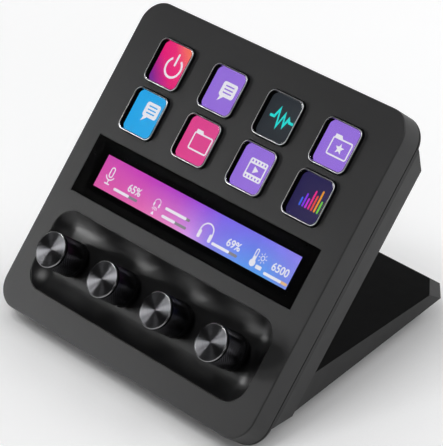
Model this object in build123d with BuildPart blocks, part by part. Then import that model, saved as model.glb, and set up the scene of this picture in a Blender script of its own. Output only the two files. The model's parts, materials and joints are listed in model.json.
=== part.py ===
from build123d import *
from math import cos, radians, sin, sqrt, tan
import os

# Desk keypad with eight picture keys, a lit strip and four push-and-turn dials, on a wedge stand.
# Frame: origin on the desk under the middle of the object, +X to the user's right, +Y away from
# the user, +Z up.  Places on the tilted panel are given across (X), up (along its face) and out
# (normal to its face, towards the user), counted from the middle of the face.

# ---- driving dimensions, millimetres and degrees ----
panel_width = 140.0
panel_height = 132.3
panel_corner = 10.0
panel_tilt = 50.6           # between the face and the desk
panel_clearance = 1.65      # from the desk to the cover's lowest edge
overall_depth = 133.1

cover_depth = 9.7
cover_face = 2.0
cover_wall = 2.0
cover_round = 0.5

# shares of the panel's height that the keys leave free, from the top edge down; the rest is below
above_keys_share = 0.1303
above_strip_share = 0.0578
strip_share = 0.2633
above_tray_share = 0.0653
tray_share = 0.3691

key_columns = 4
key_rows = 2
column_margin = 25.15       # from the panel's side to the middle of the outer columns
key_size = 18.1
key_corner = 2.9
key_row_space = 3.05        # between the two rows
key_gap = 0.5
key_proud = 1.2
key_depth = 3.4             # from the face to the underside of a key
key_wall = 0.5
key_round = 0.3
key_flange_reach = 1.2
key_flange_thickness = 0.8
key_flange_gap = 0.2
key_air_gap = 1.0           # from the underside of a key to its picture
picture_margin = 1.15       # each picture past its key, all round
key_display_border = 1.5
key_display_thickness = 2.2
spring_mat_thickness = 0.55
spring_mat_gap = 0.4        # between a key and its window in the mat

strip_side_margin = 9.2
strip_ledge = 2.2
strip_glass_thickness = 1.1
strip_glass_gap = 0.1
strip_gasket_thickness = 0.4
strip_gasket_width = 1.4
strip_display_thickness = 2.5

display_frame_gap = 1.5     # to the cover's walls
display_frame_thickness = 1.5
display_frame_margin = 1.3
display_pad_width = 2.5

tray_side_margin = 9.4
tray_corner = 9.25
tray_gap = 0.15
tray_rim = 0.25
tray_depth = 4.1
tray_floor_corner = 0.25    # of the flat floor, at the foot of the curved wall
tray_floor = 1.5
tray_flange_reach = 2.2
tray_flange_thickness = 1.2
tray_hole_gap = 0.15

dial_count = 4
dial_radius = 7.25
dial_proud = 11.6
dial_floor_gap = 1.35
dial_travel = 0.5
dial_collar_height = 1.45
dial_collar_step = 0.15
dial_cap_thickness = 1.2
dial_cap_chamfer = 0.55
dial_spigot = 1.2
dial_bore_gap = 0.03
dial_recess_gap = 0.6       # round the bushing, inside the foot of a dial
dial_recess_depth = 3.4

shaft_radius = 3.0
shaft_flat = 2.2            # from the axis to each flat
shoulder_radius = 3.9
shoulder_height = 0.7
bushing_radius = 3.6
bushing_proud = 2.0         # above the floor of the tray
bushing_bore_gap = 0.05
encoder_size = 12.4
encoder_height = 6.2
encoder_wall = 1.0
encoder_gap = 0.1
rotor_radius = 4.6
rotor_height = 2.0
rotor_gap = 0.1

seam_gap = 0.4
seam_inset = 0.9
flange_thickness = 2.0
flange_round = 1.7
case_screw_margin = 20.0     # from the panel's side
housing_wall = 2.0
housing_back = 21.95        # from the face to the back of the housing
housing_top_inset = 8.35    # from the panel's top edge to where the sloping top starts
housing_top_drop = 6.5
side_band = 2.0
side_band_draft = 4.6       # the narrow band beside the seam
side_draft = 13.4           # the rest of the housing, and the stand

board_thickness = 1.6
board_corner = 2.0
main_board_side_margin = 9.0
main_board_top_margin = 7.8  # from where the housing's sloping top starts
board_screw_inset = 4.0     # from an edge of the main board
dial_board_side_margin = 14.0
dial_board_height = 18.0
board_space = 5.85          # between the two boards
standoff_radius = 2.6
link_width = 15.0
link_thickness = 0.3
link_gap = 0.35             # round an edge of the display frame
link_drop = 0.8             # from the display frame to the links
connector_height = 3.8

usb_width = 8.94
usb_height = 3.26
usb_shell = 0.3
usb_down = 26.0             # from the main board's top edge
usb_hole_gap = 0.2
usb_set_back = 0.3
usb_socket_depth = 6.5
usb_tongue_width = 6.6
usb_tongue_height = 0.7
usb_tongue_set_back = 0.8

stand_bottom = 7.2          # above the desk
stand_front_height = 13.8
stand_rear_height = 7.2
stand_rear_run = 6.85       # plan length of the slope at the rear
stand_rim_height = 1.7
stand_rim_bevel = 1.5
stand_corner_top = 7.6      # cut from each rear corner, at the top of the rear slope
stand_corner_rim = 6.3      # and at its foot
stand_wall = 2.4
stand_boss_radius = 3.0
stand_boss_length = 4.0
stand_screw_height = 9.2    # above the underside of the stand
stand_screw_margins = (25.0, 50.0)  # from the panel's side

base_thickness = 2.0
base_gap = 0.15
plinth_inset = 8.0
plinth_wall = 2.0
plinth_floor = 1.4
sole_thickness = 2.0
sole_inset = 8.5
ballast_thickness = 2.4
ballast_gap = 0.4
base_thread_depth = 3.5

screw_radius = 1.0
screw_head_radius = 1.9
screw_head_height = 1.1
stand_screw_radius = 1.25
stand_screw_head_radius = 2.3
stand_screw_head_height = 1.7
clearance_gap = 0.15        # round a shank, in the piece it holds down
thread_gap = 0.05           # round a shank, in its boss
screw_end_gap = 0.6         # from a screw's end to the bottom of its hole
drive_radius = 0.7
drive_depth = 0.6
boss_radius = 2.4

# ---- levels and places that follow from them ----
tilt = radians(panel_tilt)
face_y = -overall_depth / 2 + (panel_height / 2 - cover_round) * cos(tilt) + cover_round * (1 - sin(tilt))
face_z = panel_clearance + panel_height / 2 * sin(tilt) + cover_depth * cos(tilt)
face = Plane(origin=(0, face_y, face_z), x_dir=(1, 0, 0), z_dir=(0, -sin(tilt), cos(tilt)))
outwards = Axis(face.origin, face.z_dir)

key_pitch_across = (panel_width - 2 * column_margin) / (key_columns - 1)
key_pitch_up = key_size + key_row_space
key_field_height = (key_rows - 1) * key_pitch_up + key_size
free_height = panel_height - key_field_height
keys_up = panel_height / 2 - above_keys_share * free_height - key_field_height / 2
picture_size = key_size + 2 * picture_margin
strip_width = panel_width - 2 * strip_side_margin
strip_height = strip_share * free_height
strip_top = keys_up - key_field_height / 2 - above_strip_share * free_height
strip_down = strip_height / 2 - strip_top
tray_width = panel_width - 2 * tray_side_margin
tray_height = tray_share * free_height
tray_down = strip_height - strip_top + above_tray_share * free_height + tray_height / 2
dial_pitch = (panel_width - 2 * column_margin) / (dial_count - 1)
display_frame_width = panel_width - 2 * (cover_wall + display_frame_gap)
housing_top = panel_height / 2 - housing_top_inset
main_board_width = panel_width - 2 * main_board_side_margin
main_board_top = housing_top - main_board_top_margin
dial_board_width = panel_width - 2 * dial_board_side_margin
dial_board_top = -tray_down + dial_board_height / 2
main_board_bottom = dial_board_top + board_space
usb_up = main_board_top - usb_down

seam = -cover_depth - seam_gap
flange_back = seam - flange_thickness
inner_back = -housing_back + housing_wall
key_bottom = -key_depth
picture_level = key_bottom - key_air_gap
frame_front = picture_level - key_display_thickness
frame_back = frame_front - display_frame_thickness
strip_picture_level = -cover_face - strip_gasket_thickness
tray_back = -tray_depth - tray_floor
encoder_front = tray_back - encoder_gap
board_front = encoder_front - encoder_height
board_back = board_front - board_thickness
link_front = frame_back - link_drop
dial_bottom = -tray_depth + dial_floor_gap
dial_top = dial_proud
rear_end = overall_depth / 2
rim_level = stand_bottom + stand_rim_height
far = overall_depth + panel_width


def level(out):
    """The plane of the face, moved out."""
    return face.offset(out)


def on_face(across, up, out):
    """A place on the panel, in the object's frame."""
    return face.from_local_coords((across, up, out))


def side_view(up, out):
    """The same place seen from the side, as (Y, Z)."""
    place = on_face(0, up, out)
    return (place.Y, place.Z)


def up_at(out, height):
    """How far up the face a place is that lies this far out and this high above the desk."""
    return (height - face_z - out * cos(tilt)) / sin(tilt)


def out_at(y, height):
    """How far out a place is that lies at this Y and this high above the desk."""
    return (height - face_z) * cos(tilt) - (y - face_y) * sin(tilt)


def half_width_at(out):
    """From the middle to the drafted side of the housing or the stand."""
    band = min(max(seam - out, 0), side_band)
    rest = max(seam - out - side_band, 0)
    return panel_width / 2 - band * tan(radians(side_band_draft)) - rest * tan(radians(side_draft))


def housing_top_at(out):
    """How far up the housing's sloping top lies at that level."""
    return housing_top - housing_top_drop * (seam - out) / (housing_back + seam)


def save(piece, name):
    """Label a finished piece and write it to its own file."""
    piece.part.label = name
    export_step(piece.part, f"parts/{name}.step")


def grid(spacing_across, spacing_up, middle_up, columns=2, rows=2):
    """Places on the face in columns and rows about a middle, from the top left."""
    return [
        ((column - (columns - 1) / 2) * spacing_across, middle_up + ((rows - 1) / 2 - row) * spacing_up)
        for row in range(rows)
        for column in range(columns)
    ]


def pan_screws(seat, places, length, head_side, radius, head_radius, head_height):
    """Screws whose heads sit on a plane, on its front (1) or its back (-1)."""
    with BuildPart() as screws:
        with BuildSketch(seat):
            with Locations(places):
                Circle(head_radius)
        extrude(amount=head_side * head_height)
        with BuildSketch(seat):
            with Locations(places):
                Circle(radius)
        extrude(amount=-head_side * length)
        with BuildSketch(seat.offset(head_side * head_height)):
            with Locations(places):
                RegularPolygon(drive_radius, 6)
        extrude(amount=-head_side * drive_depth, mode=Mode.SUBTRACT)
    return screws


def small_screws(seat, places, length, head_side):
    """The object's common screws."""
    return pan_screws(seat, places, length, head_side, screw_radius, screw_head_radius, screw_head_height)


def drafted_wedge(inset):
    """All the space between the two drafted sides, with both moved in."""
    from_below = Plane(origin=face.origin, x_dir=face.x_dir, z_dir=-face.y_dir)
    levels = [far, seam, seam - side_band, -far]
    right = [(half_width_at(out) - inset, out) for out in levels]
    left = [(-across, out) for across, out in reversed(right)]
    with BuildPart() as wedge:
        with BuildSketch(from_below):
            with BuildLine():
                Polyline(*right, *left, close=True)
            make_face()
        extrude(amount=far, both=True)
    return wedge.part


def housing_block(inset, front):
    """The housing from a level back, with every wall moved in."""
    front_corner = front + inset
    outline = [
        side_view(housing_top_at(front_corner), front_corner),
        side_view(housing_top_at(-housing_back), -housing_back),
        side_view(up_at(-housing_back, stand_bottom), -housing_back),
        side_view(up_at(front_corner, stand_bottom), front_corner),
    ]
    with BuildPart() as block:
        with BuildSketch(Plane.YZ):
            with BuildLine():
                Polyline(*outline, close=True)
            make_face()
            if inset:
                offset(amount=-inset, kind=Kind.INTERSECTION)
        extrude(amount=far, both=True)
        add(drafted_wedge(inset), mode=Mode.INTERSECT)
    return block.part


rear_top_y = rear_end - stand_rear_run
rear_top_z = stand_bottom + stand_rear_height


def corner_planes(side, inset):
    """The sloping and the upright cut across one rear corner of the stand."""
    top_half = half_width_at(out_at(rear_top_y, rear_top_z))
    rim_half = half_width_at(out_at(rear_end, rim_level))
    top = Vector(side * (top_half - stand_corner_top), rear_top_y, rear_top_z)
    rim = Vector(side * (rim_half - stand_corner_rim), rear_end, rim_level)
    sloping = Vector(side, -1, 0).cross(rim - top).normalized() * side
    upright = Vector(side, 1, 0).normalized()
    return [
        Plane(origin=top - sloping * inset, z_dir=sloping),
        Plane(origin=rim - upright * inset, z_dir=upright),
    ]


def stand_block(inset):
    """The stand, with its walls and top moved in and its bottom left where it is."""
    bottom = stand_bottom - inset
    front_top = up_at(-housing_back, stand_bottom + stand_front_height)
    outline = [
        side_view(front_top, -housing_back),
        (rear_top_y, rear_top_z),
        (rear_end, rim_level),
        (rear_end, bottom),
        side_view(up_at(-housing_back, bottom), -housing_back),
    ]
    with BuildPart() as block:
        with BuildSketch(Plane.YZ):
            with BuildLine():
                Polyline(*outline, close=True)
            make_face()
            if inset:
                offset(amount=-inset, kind=Kind.INTERSECTION)
        extrude(amount=far, both=True)
        add(drafted_wedge(inset), mode=Mode.INTERSECT)
        for cut in corner_planes(1, inset) + corner_planes(-1, inset):
            split(bisect_by=cut, keep=Keep.BOTTOM)
    return block.part


os.makedirs("parts", exist_ok=True)
key_places = grid(key_pitch_across, key_pitch_up, keys_up, key_columns, key_rows)
dial_places = grid(dial_pitch, 0, -tray_down, dial_count, 1)
case_up = (panel_height / 2 + housing_top) / 2
case_down = (panel_height / 2 - up_at(flange_back, stand_bottom)) / 2
case_pitch = panel_width / 2 - case_screw_margin
case_places = grid(case_pitch, case_up + case_down, (case_up - case_down) / 2, 3, 2)

# ---- front cover: a shallow tray, open at the back ----
strip_hole_width = strip_width - 2 * strip_ledge
strip_hole_height = strip_height - 2 * strip_ledge
strip_display_width = strip_hole_width + 2 * strip_gasket_width
strip_display_height = strip_hole_height + 2 * strip_gasket_width
key_display_width = (key_columns - 1) * key_pitch_across + picture_size + 2 * key_display_border
key_display_height = (key_rows - 1) * key_pitch_up + picture_size + 2 * key_display_border
frame_top = keys_up + key_display_height / 2 + display_frame_margin
frame_bottom = -strip_down - strip_display_height / 2 - display_frame_margin
frame_screw_across = display_frame_width - 2 * boss_radius
frame_screw_up = frame_top - 2 * boss_radius
frame_screw_places = [
    (side * frame_screw_across / 2, up) for side in (-1, 1) for up in (frame_screw_up, -strip_down)
]
with BuildPart() as front_cover:
    with BuildSketch(level(-cover_depth)):
        RectangleRounded(panel_width, panel_height, panel_corner)
    extrude(amount=cover_depth)
    fillet(front_cover.faces().sort_by(outwards)[-1].edges(), cover_round)
    with BuildSketch(level(-cover_depth)):
        RectangleRounded(
            panel_width - 2 * cover_wall, panel_height - 2 * cover_wall, panel_corner - cover_wall
        )
    extrude(amount=cover_depth - cover_face, mode=Mode.SUBTRACT)
    with BuildSketch(level(-cover_depth)):
        with Locations(case_places):
            Circle(boss_radius)
    extrude(amount=cover_depth - cover_face)
    with BuildSketch(level(frame_front)):
        with Locations(frame_screw_places):
            Circle(boss_radius)
    extrude(amount=-frame_front - cover_face)
    with BuildSketch(level(-cover_depth)):
        with Locations(case_places):
            Circle(screw_radius + thread_gap)
    extrude(amount=cover_depth - 2 * cover_face, mode=Mode.SUBTRACT)
    with BuildSketch(level(frame_front)):
        with Locations(frame_screw_places):
            Circle(screw_radius + thread_gap)
    extrude(amount=-frame_front - cover_face, mode=Mode.SUBTRACT)
    with BuildSketch(face):
        with Locations(key_places):
            RectangleRounded(key_size + 2 * key_gap, key_size + 2 * key_gap, key_corner + key_gap)
        with Locations((0, -strip_down)):
            Rectangle(strip_hole_width, strip_hole_height)
        with Locations((0, -tray_down)):
            RectangleRounded(tray_width, tray_height, tray_corner)
    extrude(amount=-cover_face, mode=Mode.SUBTRACT)
    with BuildSketch(face):
        with Locations((0, -strip_down)):
            Rectangle(strip_width, strip_height)
    extrude(amount=-strip_glass_gap - strip_glass_thickness, mode=Mode.SUBTRACT)
save(front_cover, "front_cover")

# ---- keys: a dark frame, flanged behind the cover, round a clear lens ----
lens_size = key_size - 2 * key_wall
lens_corner = key_corner - key_wall
flange_size = key_size + 2 * key_flange_reach
for number, place in enumerate(key_places, start=1):
    with BuildPart() as key_frame:
        with BuildSketch(level(key_bottom)):
            with Locations(place):
                RectangleRounded(key_size, key_size, key_corner)
        extrude(amount=key_proud + key_depth)
        fillet(key_frame.faces().sort_by(outwards)[-1].edges(), key_round)
        with BuildSketch(level(-cover_face - key_flange_gap)):
            with Locations(place):
                RectangleRounded(flange_size, flange_size, key_corner)
        extrude(amount=-key_flange_thickness)
        with BuildSketch(level(key_bottom)):
            with Locations(place):
                RectangleRounded(lens_size, lens_size, lens_corner)
        extrude(amount=key_proud + key_depth, mode=Mode.SUBTRACT)
    save(key_frame, f"key_frame_{number}")

    with BuildPart() as key_lens:
        with BuildSketch(level(key_bottom)):
            with Locations(place):
                RectangleRounded(lens_size, lens_size, lens_corner)
        extrude(amount=key_proud + key_depth)
    save(key_lens, f"key_lens_{number}")

# ---- behind the keys: a spring mat on the key display ----
window_size = key_size + 2 * spring_mat_gap
with BuildPart() as spring_mat:
    with BuildSketch(level(picture_level)):
        with Locations((0, keys_up)):
            Rectangle(key_display_width, key_display_height)
        with Locations(key_places):
            RectangleRounded(window_size, window_size, key_corner, mode=Mode.SUBTRACT)
    extrude(amount=spring_mat_thickness)
save(spring_mat, "spring_mat")

with BuildPart() as key_display:
    with BuildSketch(level(picture_level)):
        with Locations((0, keys_up)):
            Rectangle(key_display_width, key_display_height)
    extrude(amount=-key_display_thickness)
save(key_display, "key_display")

# ---- strip: glass in its rebate, a gasket and the display behind it ----
with BuildPart() as strip_glass:
    with BuildSketch(level(-strip_glass_gap)):
        with Locations((0, -strip_down)):
            Rectangle(strip_width - 2 * strip_glass_gap, strip_height - 2 * strip_glass_gap)
    extrude(amount=-strip_glass_thickness)
save(strip_glass, "strip_glass")

with BuildPart() as strip_gasket:
    with BuildSketch(level(-cover_face)):
        with Locations((0, -strip_down)):
            Rectangle(strip_display_width, strip_display_height)
            Rectangle(strip_hole_width, strip_hole_height, mode=Mode.SUBTRACT)
    extrude(amount=-strip_gasket_thickness)
save(strip_gasket, "strip_gasket")

with BuildPart() as strip_display:
    with BuildSketch(level(strip_picture_level)):
        with Locations((0, -strip_down)):
            Rectangle(strip_display_width, strip_display_height)
    extrude(amount=-strip_display_thickness)
save(strip_display, "strip_display")

# ---- display frame: a plate behind both displays, with a raised pad for the strip ----
strip_display_back = strip_picture_level - strip_display_thickness
pad_hole_width = strip_display_width - 2 * display_pad_width
pad_hole_height = strip_display_height - 2 * display_pad_width
with BuildPart() as display_frame:
    with BuildSketch(level(frame_front)):
        with Locations((0, (frame_top + frame_bottom) / 2)):
            Rectangle(display_frame_width, frame_top - frame_bottom)
    extrude(amount=-display_frame_thickness)
    with BuildSketch(level(frame_front)):
        with Locations((0, -strip_down)):
            Rectangle(strip_display_width, strip_display_height)
            Rectangle(pad_hole_width, pad_hole_height, mode=Mode.SUBTRACT)
    extrude(amount=strip_display_back - frame_front)
    with BuildSketch(level(frame_front)):
        with Locations(frame_screw_places):
            Circle(screw_radius + clearance_gap)
    extrude(amount=-display_frame_thickness, mode=Mode.SUBTRACT)
save(display_frame, "display_frame")

frame_screw_length = -frame_back - cover_face - screw_end_gap
save(small_screws(level(frame_back), frame_screw_places, frame_screw_length, -1), "frame_screws")


# ---- dial tray: a glossy scoop with a thin rim, flanged behind the cover ----
def scoop_section(plane, reach, two_sided):
    """Section of the scoop from its middle to the rim, closed above the face."""
    with BuildSketch(plane) as section:
        with BuildLine():
            floor = Line((0, -tray_depth), (reach - scoop_run, -tray_depth))
            wall = TangentArc(floor @ 1, (reach, -tray_gap), tangent=floor % 1)
            Polyline(wall @ 1, (reach, cover_face), (0, cover_face), floor @ 0)
        make_face()
        if two_sided:
            mirror(about=Plane.YZ)
    return section.sketch


rim_width = tray_width - 2 * tray_gap
rim_height = tray_height - 2 * tray_gap
rim_corner = tray_corner - tray_gap
bowl_reach = rim_corner - tray_rim
scoop_run = bowl_reach - tray_floor_corner
scoop_half_width = rim_width / 2 - tray_rim
scoop_half_height = rim_height / 2 - tray_rim
corner_across = scoop_half_width - bowl_reach
corner_up = scoop_half_height - bowl_reach
tray_middle = on_face(0, -tray_down, 0)
seen_along = Plane(origin=tray_middle, x_dir=face.y_dir, z_dir=face.x_dir)
seen_up = Plane(origin=tray_middle, x_dir=face.x_dir, z_dir=-face.y_dir)
with BuildPart() as scoop:
    extrude(scoop_section(seen_along, scoop_half_height, True), amount=corner_across, both=True)
    extrude(scoop_section(seen_up, scoop_half_width, True), amount=corner_up, both=True)
    for across, up in grid(2 * corner_across, 2 * corner_up, -tray_down):
        corner = on_face(across, up, 0)
        bowl_section = scoop_section(Plane(corner, face.x_dir, -face.y_dir), bowl_reach, False)
        revolve(bowl_section, axis=Axis(corner, face.z_dir))

tray_flange_width = tray_width + 2 * tray_flange_reach
tray_flange_height = tray_height + 2 * tray_flange_reach
with BuildPart() as dial_tray:
    with BuildSketch(level(tray_back)):
        with Locations((0, -tray_down)):
            RectangleRounded(rim_width, rim_height, rim_corner)
    extrude(amount=-tray_back - tray_gap)
    with BuildSketch(level(-cover_face)):
        with Locations((0, -tray_down)):
            RectangleRounded(tray_flange_width, tray_flange_height, tray_corner + tray_flange_reach)
    extrude(amount=-tray_flange_thickness)
    add(scoop, mode=Mode.SUBTRACT)
    with BuildSketch(level(tray_back)):
        with Locations(dial_places):
            Circle(bushing_radius + tray_hole_gap)
    extrude(amount=tray_floor, mode=Mode.SUBTRACT)
save(dial_tray, "dial_tray")

# ---- dials: each an encoder body, a rotor that turns, and a shaft, knob and cap that also press ----
cavity_front = encoder_front - encoder_wall
cavity_back = board_front + encoder_wall
rotor_front = cavity_front - rotor_gap
rotor_back = rotor_front - rotor_height
shoulder_front = rotor_back - rotor_gap
shoulder_back = shoulder_front - shoulder_height
shaft_end = shoulder_back - dial_travel
shaft_top = dial_top - dial_cap_thickness - dial_spigot
flats_top = rotor_front + dial_travel + rotor_gap
recess_top = dial_bottom + dial_recess_depth
for number, place in enumerate(dial_places, start=1):
    with BuildPart() as encoder_body:
        with BuildSketch(level(encoder_front)):
            with Locations(place):
                Rectangle(encoder_size, encoder_size)
        extrude(amount=-encoder_height)
        with BuildSketch(level(encoder_front)):
            with Locations(place):
                Circle(bushing_radius)
        extrude(amount=-encoder_front - tray_depth + bushing_proud)
        with BuildSketch(level(cavity_front)):
            with Locations(place):
                Circle(rotor_radius + rotor_gap)
        extrude(amount=cavity_back - cavity_front, mode=Mode.SUBTRACT)
        with BuildSketch(level(cavity_front)):
            with Locations(place):
                Circle(shaft_radius + bushing_bore_gap)
        extrude(amount=-cavity_front, mode=Mode.SUBTRACT)
    save(encoder_body, f"encoder_body_{number}")

    with BuildPart() as encoder_rotor:
        with BuildSketch(level(rotor_front)):
            with Locations(place):
                Circle(rotor_radius)
        extrude(amount=-rotor_height)
        with BuildSketch(level(rotor_front)):
            with Locations(place):
                Circle(shaft_radius + bushing_bore_gap)
                flat_width = 2 * (shaft_flat + bushing_bore_gap)
                Rectangle(flat_width, 2 * rotor_radius, mode=Mode.INTERSECT)
        extrude(amount=-rotor_height, mode=Mode.SUBTRACT)
    save(encoder_rotor, f"encoder_rotor_{number}")

    with BuildPart() as encoder_shaft:
        with BuildSketch(level(flats_top)):
            with Locations(place):
                Circle(shaft_radius)
        extrude(amount=shaft_top - flats_top)
        with BuildSketch(level(shaft_end)):
            with Locations(place):
                Circle(shaft_radius)
                Rectangle(2 * shaft_flat, 2 * shaft_radius, mode=Mode.INTERSECT)
        extrude(amount=flats_top - shaft_end)
        with BuildSketch(level(shoulder_back)):
            with Locations(place):
                Circle(shoulder_radius)
        extrude(amount=shoulder_height)
    save(encoder_shaft, f"encoder_shaft_{number}")

    with BuildPart() as knob:
        with BuildSketch(level(dial_bottom)):
            with Locations(place):
                Circle(dial_radius - dial_collar_step)
        extrude(amount=dial_collar_height)
        with BuildSketch(level(dial_bottom + dial_collar_height)):
            with Locations(place):
                Circle(dial_radius)
        extrude(amount=dial_top - dial_cap_thickness - dial_bottom - dial_collar_height)
        with BuildSketch(level(dial_bottom)):
            with Locations(place):
                Circle(bushing_radius + dial_recess_gap)
        extrude(amount=dial_recess_depth, mode=Mode.SUBTRACT)
        with BuildSketch(level(recess_top)):
            with Locations(place):
                Circle(shaft_radius + dial_bore_gap)
        extrude(amount=dial_top - dial_cap_thickness - recess_top, mode=Mode.SUBTRACT)
    save(knob, f"knob_{number}")

    with BuildPart() as knob_cap:
        with BuildSketch(level(dial_top - dial_cap_thickness)):
            with Locations(place):
                Circle(dial_radius)
        extrude(amount=dial_cap_thickness)
        chamfer(knob_cap.faces().sort_by(outwards)[-1].edges(), dial_cap_chamfer)
        with BuildSketch(level(dial_top - dial_cap_thickness)):
            with Locations(place):
                Circle(shaft_radius)
        extrude(amount=-dial_spigot)
    save(knob_cap, f"knob_cap_{number}")

# ---- boards: a main board, a dial board, their parts and the flat links between them ----
board_middle = (main_board_top + main_board_bottom) / 2
board_screw_across = main_board_width - 2 * board_screw_inset
board_screw_up = main_board_top - main_board_bottom - 2 * board_screw_inset
main_screw_places = grid(board_screw_across, board_screw_up, board_middle)
dial_screw_places = grid(dial_pitch, 0, -tray_down, dial_count - 1, 1)
board_screw_places = main_screw_places + dial_screw_places
with BuildPart() as main_board:
    with BuildSketch(level(board_front)):
        with Locations((0, board_middle)):
            RectangleRounded(main_board_width, main_board_top - main_board_bottom, board_corner)
        with Locations(main_screw_places):
            Circle(screw_radius + clearance_gap, mode=Mode.SUBTRACT)
    extrude(amount=-board_thickness)
save(main_board, "main_board")

with BuildPart() as dial_board:
    with BuildSketch(level(board_front)):
        with Locations((0, -tray_down)):
            RectangleRounded(dial_board_width, dial_board_height, board_corner)
        with Locations(dial_screw_places):
            Circle(screw_radius + clearance_gap, mode=Mode.SUBTRACT)
    extrude(amount=-board_thickness)
save(dial_board, "dial_board")

# chips on the front of the main board: (across, up, width, height, thickness)
chips = [
    (-30, 12, 14, 14, 1.4),
    (-8, 14, 9, 12, 1.0),
    (28, 10, 7, 7, 0.9),
    (44, 20, 10, 6, 1.8),
    (40, -4, 5, 5, 2.0),
]
key_link_up = main_board_top - connector_height
strip_link_up = frame_bottom + 2 * connector_height
connector_places = [(0, key_link_up), (0, strip_link_up)]
with BuildPart() as board_components:
    for across, up, width, height, thickness in chips:
        with BuildSketch(level(board_front)):
            with Locations((across, up)):
                Rectangle(width, height)
        extrude(amount=thickness)
    with BuildSketch(level(board_front)):
        with Locations(connector_places):
            Rectangle(link_width + connector_height, connector_height)
    extrude(amount=link_front - link_thickness - board_front)
save(board_components, "board_components")

# each display's link leaves its back, turns over the edge of the frame and ends on a connector
key_display_top = keys_up + key_display_height / 2
strip_display_bottom = -strip_down - strip_display_height / 2
with BuildPart() as flat_links:
    for edge, turn, end, start in (
        (key_display_top, frame_top + link_gap, key_link_up, frame_front),
        (strip_display_bottom, frame_bottom - link_gap, strip_link_up, strip_display_back),
    ):
        outer = turn + (link_thickness if turn > end else -link_thickness)
        with BuildSketch(Plane.YZ):
            with BuildLine():
                Polyline(
                    side_view(edge, start + link_thickness),
                    side_view(outer, start + link_thickness),
                    side_view(outer, link_front - link_thickness),
                    side_view(end, link_front - link_thickness),
                    side_view(end, link_front),
                    side_view(turn, link_front),
                    side_view(turn, start),
                    side_view(edge, start),
                    close=True,
                )
            make_face()
        extrude(amount=link_width / 2, both=True)
    with BuildSketch(level(board_front)):
        with Locations((0, (main_board_bottom + dial_board_top) / 2)):
            Rectangle(link_width, main_board_bottom - dial_board_top + 2 * connector_height)
    extrude(amount=link_thickness)
save(flat_links, "flat_links")

board_screw_length = board_front - inner_back - screw_end_gap
save(small_screws(level(board_front), board_screw_places, board_screw_length, 1), "board_screws")

# ---- USB-C socket: upright on the back of the main board, its mouth in the housing's back ----
usb_mouth = -housing_back + usb_set_back
usb_inner_width = usb_width - 2 * usb_shell
usb_inner_height = usb_height - 2 * usb_shell
with BuildPart() as usb_socket:
    with BuildSketch(level(board_back)):
        with Locations((0, usb_up)):
            SlotOverall(usb_width, usb_height)
    extrude(amount=usb_mouth - board_back)
    with BuildSketch(level(usb_mouth)):
        with Locations((0, usb_up)):
            SlotOverall(usb_inner_width, usb_inner_height)
    extrude(amount=usb_socket_depth, mode=Mode.SUBTRACT)
    with BuildSketch(level(usb_mouth + usb_socket_depth)):
        with Locations((0, usb_up)):
            Rectangle(usb_tongue_width, usb_tongue_height)
    extrude(amount=usb_tongue_set_back - usb_socket_depth)
save(usb_socket, "usb_socket")

# ---- rear housing: a drafted box behind a flange that follows the cover's outline ----
stand_screws_up = up_at(-housing_back, stand_bottom + stand_screw_height)
stand_screw_places = [
    (side * (panel_width / 2 - margin), stand_screws_up)
    for side in (-1, 1)
    for margin in stand_screw_margins
]
with BuildPart() as housing_flange:
    with BuildSketch(level(seam)):
        RectangleRounded(panel_width, panel_height, panel_corner)
    extrude(amount=-flange_thickness)
    fillet(housing_flange.faces().sort_by(outwards)[0].edges(), flange_round)
    with BuildSketch(level(seam)):
        land_width = panel_width - 2 * seam_inset
        land_height = panel_height - 2 * seam_inset
        RectangleRounded(land_width, land_height, panel_corner - seam_inset)
    extrude(amount=seam_gap)
    add(drafted_wedge(0), mode=Mode.INTERSECT)
with BuildPart() as rear_housing:
    add(housing_block(0, seam))
    bottom_edges = rear_housing.faces().sort_by(Axis.Z)[0].edges()
    chamfer([bottom_edges.sort_by(Axis.X)[0], bottom_edges.sort_by(Axis.X)[-1]], stand_rim_bevel)
    add(housing_flange)
    add(housing_block(housing_wall, 0), mode=Mode.SUBTRACT)
    with BuildSketch(level(inner_back)):
        with Locations(board_screw_places):
            Circle(standoff_radius)
    extrude(amount=board_back - inner_back)
    with BuildSketch(level(inner_back)):
        with Locations(board_screw_places):
            Circle(screw_radius + thread_gap)
    extrude(amount=board_back - inner_back, mode=Mode.SUBTRACT)
    with BuildSketch(level(inner_back)):
        with Locations(stand_screw_places):
            Circle(stand_screw_radius + clearance_gap)
        with Locations((0, usb_up)):
            SlotOverall(usb_width + 2 * usb_hole_gap, usb_height + 2 * usb_hole_gap)
    extrude(amount=-housing_wall, mode=Mode.SUBTRACT)
    with BuildSketch(level(-cover_depth)):
        with Locations(case_places):
            Circle(screw_radius + clearance_gap)
    extrude(amount=flange_back + cover_depth, mode=Mode.SUBTRACT)
    with BuildSketch(level(flange_back)):
        with Locations(case_places):
            Circle(screw_head_radius + clearance_gap)
    extrude(amount=screw_head_height, mode=Mode.SUBTRACT)
save(rear_housing, "rear_housing")

case_seat = flange_back + screw_head_height
case_screw_length = -case_seat - 2 * cover_face - screw_end_gap
save(small_screws(level(case_seat), case_places, case_screw_length, -1), "case_screws")

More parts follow.
